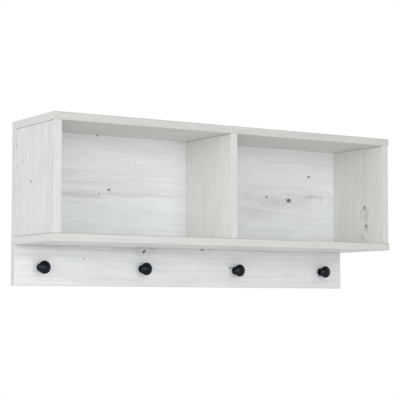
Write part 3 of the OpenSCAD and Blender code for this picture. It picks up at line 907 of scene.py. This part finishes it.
# Beech, turned and compressed: pinkish tan with short darker flecks along the dowel.
FLECK_MM = (0.4, 0.4, 4)
beech, tree = new_material("turned_beech")
place = add(tree, "ShaderNodeTexCoord").outputs["Object"]
place = add(tree, VECTOR_MATH, (place, [MM_PER_M / mm for mm in FLECK_MM]), operation="MULTIPLY")
flecks = add(tree, NOISE, {"Vector": place, "Scale": 1.0, "Detail": 2.0})
flecks = add(tree, MAP_RANGE, (flecks, 0.45, 0.7))
tone = {"Factor": flecks, FIRST: linear("#DDBD8F"), SECOND: linear("#B98F5E")}
tone = add(tree, MIX, tone, data_type="RGBA")
bump = add(tree, "ShaderNodeBump", {"Height": flecks, "Strength": 0.3, "Distance": 0.00005})
shader = add(tree, "ShaderNodeBsdfPrincipled", {"Base Color": tone, "Roughness": 0.6, "Normal": bump})
add(tree, "ShaderNodeOutputMaterial", {"Surface": shader})

tree, size = new_shape("Fluted dowel", ("Radius", "Length", "Chamfer", "Flutes"))
# The section is a circle whose radius dips once for each flute.
section = add(tree, "GeometryNodeCurvePrimitiveCircle", {
    "Resolution": ROUND_STEPS, "Radius": size["Radius"],
})
round_it = add(tree, "GeometryNodeSplineParameter").outputs["Factor"]
phase = add(tree, MATH, (round_it, size["Flutes"]), operation="MULTIPLY")
phase = add(tree, MATH, (phase, 2 * math.pi), operation="MULTIPLY")
dip = add(tree, MATH, (phase,), operation="COSINE")
dip = add(tree, MAP_RANGE, (dip, 0.2, 1.0, 1.0, FLUTE_FLOOR))
place = add(tree, "GeometryNodeInputPosition")
dipped = add(tree, VECTOR_MATH, {0: place, "Scale": dip}, operation="SCALE")
fluted = add(tree, "GeometryNodeSetPosition", {"Geometry": section, "Position": dipped})
# It is swept through four stations, each with a level and a width: the lower end, the two
# chamfers' inner edges, and the upper end at level 0.
lower_end, upper_chamfer = (
    add(tree, MATH, (0.0, size[part]), operation="SUBTRACT") for part in ("Length", "Chamfer")
)
lower_chamfer = add(tree, MATH, (lower_end, size["Chamfer"]), operation="ADD")
level, width = (
    add(tree, "GeometryNodeIndexSwitch", (add(tree, "GeometryNodeInputIndex"),), data_type="FLOAT")
    for _ in range(2)
)
for switch, values in (
    (level, (lower_end, lower_chamfer, upper_chamfer, 0.0)),
    (width, (CHAMFERED_END, 1.0, 1.0, CHAMFERED_END)),
):
    while len(switch.index_switch_items) < len(values):
        switch.index_switch_items.new()
    for socket, value in zip(list(switch.inputs)[1:], values):
        if isinstance(value, float):
            socket.default_value = value
        else:
            tree.links.new(value.outputs[0], socket)
stations = add(tree, "GeometryNodeMeshLine", {"Count": 4}, mode="OFFSET")
station_place = add(tree, "ShaderNodeCombineXYZ", {"Z": level})
stations = add(tree, "GeometryNodeSetPosition", {"Geometry": stations, "Position": station_place})
axis_line = add(tree, "GeometryNodeMeshToCurve", (stations,))
dowel_shape = add(tree, "GeometryNodeCurveToMesh", {
    "Curve": axis_line, "Profile Curve": fluted, "Scale": width, "Fill Caps": True,
})
set_out(tree, dowel_shape, beech)
low, high = solids_of("dowels")[0]
make_from(tree, "fluted_dowels", board_places("dowels"), {
    "Radius": (high.x - low.x) / 2, "Length": high.z - low.z, "Chamfer": 0.0012, "Flutes": 20.0,
}, ("dowels",))

# ---- Hanger plates ----
# Two plates of 2 mm steel, stamped and zinc plated, let in flush with the panel's back. Each
# has a keyhole that drops over a wall screw, and two countersunk holes for its own screws.

for plate in ("hanger_plate_left", "hanger_plate_right"):
    coat(plate, zinc)

# ---- Studio ----
# The rack hangs as on a wall, seen from low on its left. Three soft boxes stand front left,
# straight in front and far left, and pale surroundings light the rest.

RACK_MIDDLE = (0, -0.1, -0.1)
WHITE = (1, 1, 1, 1)
AMBIENT = 0.41


def background_rays(tree):
    """One where a ray shows the background: seen by the camera, in a reflection or through glass."""
    rays = add(tree, "ShaderNodeLightPath").outputs
    shows = rays["Is Camera Ray"]
    for other in ("Is Glossy Ray", "Is Transmission Ray"):
        shows = add(tree, MATH, (shows, rays[other]), operation="MAXIMUM")
    return shows


world = bpy.data.worlds.new("studio")
bpy.context.scene.world = world
world.use_nodes = True
tree = world.node_tree
tree.nodes.clear()
white = add(tree, "ShaderNodeBackground", {"Color": WHITE, "Strength": 1.0})
ambient = add(tree, "ShaderNodeBackground", {"Color": WHITE, "Strength": AMBIENT})
sky = add(tree, "ShaderNodeMixShader", (background_rays(tree), ambient, white))
add(tree, "ShaderNodeOutputWorld", {"Surface": sky})


def lamp(name, place, across, power):
    """A square soft box at a place, turned to the rack."""
    light = bpy.data.lights.new(name, "AREA")
    light.size = across
    light.energy = power
    stand = bpy.data.objects.new(name, light)
    bpy.context.scene.collection.objects.link(stand)
    stand.location = place
    stand.rotation_euler = (Vector(RACK_MIDDLE) - Vector(place)).to_track_quat("-Z", "Y").to_euler()


lamp("front_left", (-1.8, -3.2, -0.1), across=2.6, power=27)
lamp("front", (0, -3.0, 0.1), across=1.5, power=21)
lamp("left", (-2.6, -1.0, 0.4), across=2.0, power=24)

# Painted studio floor: matt white, with a trace of unevenness in the paint. It keeps the
# rack's shadow, and runs out into the white background with distance.
FLOOR_REACH, FLOOR_LEVEL = 12, -1.5
UNEVENNESS_MM = 1250
floor_mesh = bpy.data.meshes.new("floor")
floor_mesh.from_pydata(
    [(FLOOR_REACH * x, FLOOR_REACH * y, FLOOR_LEVEL) for x, y in ((-1, -1), (1, -1), (1, 1), (-1, 1))],
    [], [(0, 1, 2, 3)])
floor = bpy.data.objects.new("floor", floor_mesh)
bpy.context.scene.collection.objects.link(floor)
floor_paint, tree = new_material("matt_white_floor_paint")
place = add(tree, "ShaderNodeTexCoord").outputs["Object"]
drift = add(tree, NOISE, {"Vector": place, "Scale": MM_PER_M / UNEVENNESS_MM})
tone = {"Factor": drift, FIRST: linear("#F1F1EF"), SECOND: linear("#F4F4F3")}
tone = add(tree, MIX, tone, data_type="RGBA")
painted = add(tree, "ShaderNodeBsdfPrincipled", {"Base Color": tone, "Roughness": 0.8})
white = add(tree, "ShaderNodeEmission", {"Color": WHITE, "Strength": 1.0})
from_middle = add(tree, VECTOR_MATH, (place,), operation="LENGTH")
run_out = add(tree, MAP_RANGE, (from_middle, 1.0, 7.0, 0.8, 1.0), **EASED)
white_share = add(tree, MATH, (background_rays(tree), run_out), operation="MULTIPLY")
floor_look = add(tree, "ShaderNodeMixShader", (white_share, painted, white))
add(tree, "ShaderNodeOutputMaterial", {"Surface": floor_look})
floor_mesh.materials.append(floor_paint)

camera = bpy.data.cameras.new("camera")
camera.sensor_width = 36
camera.lens = 121.43
camera.clip_start, camera.clip_end = 0.1, 100
tripod = bpy.data.objects.new("camera", camera)
bpy.context.scene.collection.objects.link(tripod)
tripod.location = (-1.4947, -2.4127, -0.2960)
tripod.rotation_euler = [math.radians(angle) for angle in (90 + 4.427, -0.040, -32.383)]
bpy.context.scene.camera = tripod
bpy.context.scene.view_settings.view_transform = "Standard"
